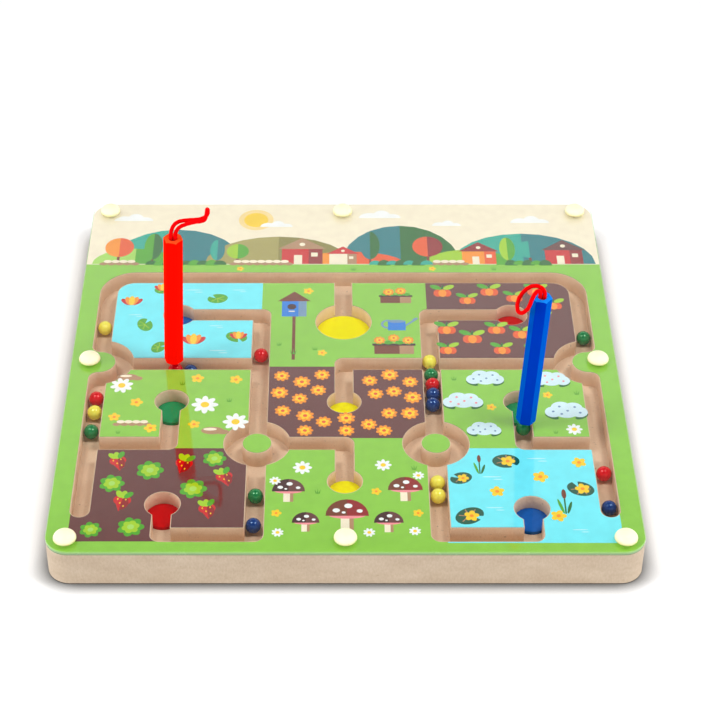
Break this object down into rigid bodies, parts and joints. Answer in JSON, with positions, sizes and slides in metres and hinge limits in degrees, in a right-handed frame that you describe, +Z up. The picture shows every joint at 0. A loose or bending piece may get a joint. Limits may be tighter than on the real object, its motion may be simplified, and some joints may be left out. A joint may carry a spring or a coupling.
{
  "type": "bead maze game",
  "caption": "Square wooden maze board under a clear pegged cover, with steel beads in its channels and corded magnet wands that draw them along to coloured pockets.",
  "frame": {"origin": "middle of the board's underside, on the table", "axes": "+X to the right and +Y to the back as the picture is read, +Z up through the cover"},
  "size_m": [0.3, 0.3, 0.1252],
  "materials": {
    "board_wood": "fine pressed wood, sanded",
    "print": "printed picture sheet under the cover",
    "clear_cover": "clear polished acrylic",
    "peg_plastic": "cream, satin",
    "disc_yellow": "printed colour",
    "disc_red": "printed colour",
    "disc_blue": "printed colour",
    "disc_green": "printed colour",
    "bead_red": "gloss lacquer",
    "bead_yellow": "gloss lacquer",
    "bead_green": "gloss lacquer",
    "bead_blue": "gloss lacquer",
    "red_lacquer": "gloss lacquer on wood",
    "blue_lacquer": "gloss lacquer on wood",
    "magnet_steel": "bare metal",
    "plug_wood": "glued-in plug",
    "cord_red": "braided cord"
  },
  "bodies": {
    "board": {"base_board": "board_wood", "back_rail": "board_wood", "left_rail": "board_wood", "right_rail": "board_wood", "front_rail": "board_wood", "field_back_left": "board_wood", "field_back_middle": "board_wood", "field_back_right": "board_wood", "field_middle_left": "board_wood", "field_middle": "board_wood", "field_middle_right": "board_wood", "field_front_left": "board_wood", "field_front_middle": "board_wood", "field_front_right": "board_wood", "ring_islands": "board_wood", "printed_sheet": "print", "cover": "clear_cover", "cover_pegs": "peg_plastic", "disc_big_yellow": "disc_yellow", "discs_yellow": "disc_yellow", "discs_red": "disc_red", "discs_blue": "disc_blue", "discs_green": "disc_green"},
    "bead_yellow_1": {"bead_yellow_1": "bead_yellow"},
    "bead_red_1": {"bead_red_1": "bead_red"},
    "bead_red_2": {"bead_red_2": "bead_red"},
    "bead_yellow_2": {"bead_yellow_2": "bead_yellow"},
    "bead_green_1": {"bead_green_1": "bead_green"},
    "bead_red_3": {"bead_red_3": "bead_red"},
    "bead_blue_1": {"bead_blue_1": "bead_blue"},
    "bead_yellow_3": {"bead_yellow_3": "bead_yellow"},
    "bead_green_5": {"bead_green_5": "bead_green"},
    "bead_red_5": {"bead_red_5": "bead_red"},
    "bead_blue_4": {"bead_blue_4": "bead_blue"},
    "bead_blue_5": {"bead_blue_5": "bead_blue"},
    "bead_green_2": {"bead_green_2": "bead_green"},
    "bead_green_3": {"bead_green_3": "bead_green"},
    "bead_yellow_4": {"bead_yellow_4": "bead_yellow"},
    "bead_yellow_5": {"bead_yellow_5": "bead_yellow"},
    "bead_green_4": {"bead_green_4": "bead_green"},
    "bead_blue_2": {"bead_blue_2": "bead_blue"},
    "bead_red_4": {"bead_red_4": "bead_red"},
    "bead_blue_3": {"bead_blue_3": "bead_blue"},
    "red_wand": {"red_wand": "red_lacquer", "red_wand_magnet": "magnet_steel", "red_wand_plug": "plug_wood", "red_wand_cord": "cord_red"},
    "blue_wand": {"blue_wand": "blue_lacquer", "blue_wand_magnet": "magnet_steel", "blue_wand_plug": "plug_wood", "blue_wand_cord": "cord_red"}
  },
  "joints": [
    {"name": "slide_bead_yellow_1", "type": "slide", "parent": "board", "child": "bead_yellow_1", "axis": [0, 1, 0], "range_m": [-0.0225, 0.024]},
    {"name": "slide_bead_red_1", "type": "slide", "parent": "board", "child": "bead_red_1", "axis": [0, 1, 0], "range_m": [-0.066, 0.029]},
    {"name": "slide_bead_red_2", "type": "slide", "parent": "board", "child": "bead_red_2", "axis": [0, 1, 0], "range_m": [-0.0016, 0.0095]},
    {"name": "slide_bead_yellow_2", "type": "slide", "parent": "board", "child": "bead_yellow_2", "axis": [0, 1, 0], "range_m": [-0.0036, 0.0016]},
    {"name": "slide_bead_green_1", "type": "slide", "parent": "board", "child": "bead_green_1", "axis": [0, 1, 0], "range_m": [-0.064, 0.0036]},
    {"name": "slide_bead_red_3", "type": "slide", "parent": "board", "child": "bead_red_3", "axis": [1, 0, 0], "range_m": [-0.027, 0.03]},
    {"name": "slide_bead_blue_1", "type": "slide", "parent": "board", "child": "bead_blue_1", "axis": [1, 0, 0], "range_m": [-0.027, 0.03]},
    {"name": "slide_bead_yellow_3", "type": "slide", "parent": "board", "child": "bead_yellow_3", "axis": [0, 1, 0], "range_m": [-0.025, 0.035]},
    {"name": "slide_bead_green_5", "type": "slide", "parent": "board", "child": "bead_green_5", "axis": [0, 1, 0], "range_m": [-0.025, 0.035]},
    {"name": "slide_bead_red_5", "type": "slide", "parent": "board", "child": "bead_red_5", "axis": [0, 1, 0], "range_m": [-0.025, 0.035]},
    {"name": "slide_bead_blue_4", "type": "slide", "parent": "board", "child": "bead_blue_4", "axis": [0, 1, 0], "range_m": [-0.025, 0.035]},
    {"name": "slide_bead_blue_5", "type": "slide", "parent": "board", "child": "bead_blue_5", "axis": [0, 1, 0], "range_m": [-0.025, 0.035]},
    {"name": "slide_bead_green_2", "type": "slide", "parent": "board", "child": "bead_green_2", "axis": [0, 1, 0], "range_m": [-0.0135, 0.032]},
    {"name": "slide_bead_green_3", "type": "slide", "parent": "board", "child": "bead_green_3", "axis": [0, 1, 0], "range_m": [-0.016, 0.021]},
    {"name": "slide_bead_yellow_4", "type": "slide", "parent": "board", "child": "bead_yellow_4", "axis": [0, 1, 0], "range_m": [-0.0008, 0.012]},
    {"name": "slide_bead_yellow_5", "type": "slide", "parent": "board", "child": "bead_yellow_5", "axis": [0, 1, 0], "range_m": [-0.034, 0.0008]},
    {"name": "slide_bead_green_4", "type": "slide", "parent": "board", "child": "bead_green_4", "axis": [0, 1, 0], "range_m": [-0.0067, 0.022]},
    {"name": "slide_bead_blue_2", "type": "slide", "parent": "board", "child": "bead_blue_2", "axis": [0, 1, 0], "range_m": [-0.0123, 0.0067]},
    {"name": "slide_bead_red_4", "type": "slide", "parent": "board", "child": "bead_red_4", "axis": [0, 1, 0], "range_m": [-0.009, 0.07]},
    {"name": "slide_bead_blue_3", "type": "slide", "parent": "board", "child": "bead_blue_3", "axis": [0, 1, 0], "range_m": [-0.0076, 0.0085]},
    {"name": "lift_red_wand", "type": "slide", "parent": "bead_red_3", "child": "red_wand", "axis": [0, 0, 1], "range_m": [0, 0.1]},
    {"name": "lift_blue_wand", "type": "slide", "parent": "bead_green_3", "child": "blue_wand", "axis": [0, 0, 1], "range_m": [0, 0.1]}
  ],
  "couplings": [
    {"joint": "slide_bead_blue_1", "follows": "slide_bead_red_3", "ratio": 1},
    {"joint": "slide_bead_green_5", "follows": "slide_bead_yellow_3", "ratio": 1},
    {"joint": "slide_bead_red_5", "follows": "slide_bead_yellow_3", "ratio": 1},
    {"joint": "slide_bead_blue_4", "follows": "slide_bead_yellow_3", "ratio": 1},
    {"joint": "slide_bead_blue_5", "follows": "slide_bead_yellow_3", "ratio": 1}
  ]
}
